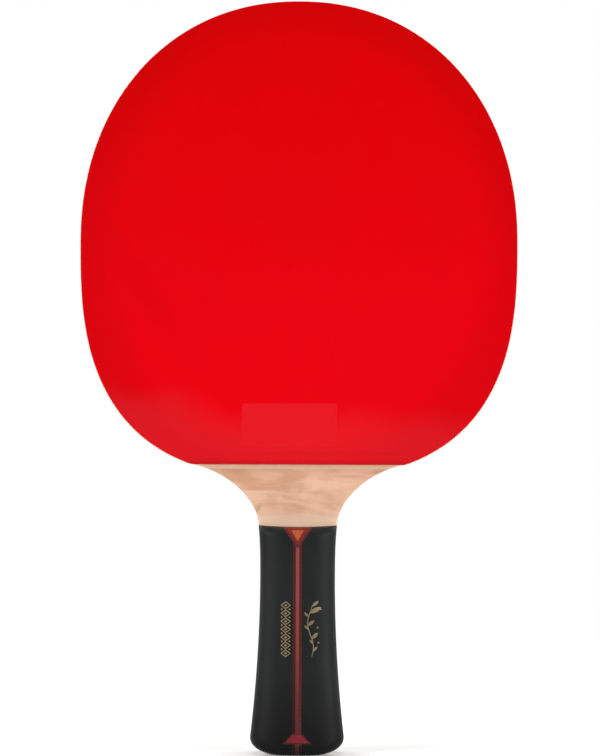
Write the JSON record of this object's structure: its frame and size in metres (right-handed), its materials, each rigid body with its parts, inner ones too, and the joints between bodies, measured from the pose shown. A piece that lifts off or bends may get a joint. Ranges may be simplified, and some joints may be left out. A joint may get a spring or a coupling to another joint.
{
  "type": "table tennis racket",
  "caption": "Table tennis racket with an oval plywood blade, a smooth rubber sheet on each side and a flared, laminated grip.",
  "frame": {"origin": "middle of the flat butt end of the grip, on which the racket stands upright", "axes": "+Z from the butt to the top of the head, X across the blade's width, Y through its thickness; the red rubber faces -Y and the black rubber +Y"},
  "size_m": [0.15, 0.0244, 0.2578],
  "materials": {
    "core_wood": "light core ply, its end grain seen at the edges",
    "cross_wood": "cross ply, slightly darker, its grain across the blade",
    "face_wood": "fine sanded pinkish face veneer with a faint wavy figure",
    "sponge": "matt cream foam with fine pores",
    "red_rubber": "smooth bright red sheet with a soft sheen, pimples inward",
    "black_rubber": "smooth black sheet with a soft sheen, pimples inward",
    "black_lacquer": "satin black lacquer on wood",
    "strip_red": "dark red dyed veneer under lacquer",
    "strip_rose": "rose dyed veneer under lacquer",
    "inlay_plum": "plum dyed veneer under lacquer",
    "inlay_red": "red dyed veneer under lacquer",
    "inlay_orange": "orange dyed veneer under lacquer"
  },
  "bodies": {
    "root": {"core_ply": "core_wood", "cross_ply_front": "cross_wood", "cross_ply_back": "cross_wood", "face_ply_front": "face_wood", "face_ply_back": "face_wood", "sponge_front": "sponge", "sponge_back": "sponge", "topsheet_front": "red_rubber", "topsheet_back": "black_rubber", "grip_slab_left_front": "black_lacquer", "grip_slab_right_front": "black_lacquer", "strip_left_front": "strip_red", "strip_centre_front": "strip_rose", "strip_right_front": "strip_red", "top_inlay_rim_front": "inlay_plum", "top_inlay_body_front": "inlay_red", "top_inlay_core_front": "inlay_orange", "foot_inlay_front": "inlay_red", "grip_slab_left_back": "black_lacquer", "grip_slab_right_back": "black_lacquer", "strip_left_back": "strip_red", "strip_centre_back": "strip_rose", "strip_right_back": "strip_red", "top_inlay_rim_back": "inlay_plum", "top_inlay_body_back": "inlay_red", "top_inlay_core_back": "inlay_orange", "foot_inlay_back": "inlay_red"}
  },
  "joints": []
}
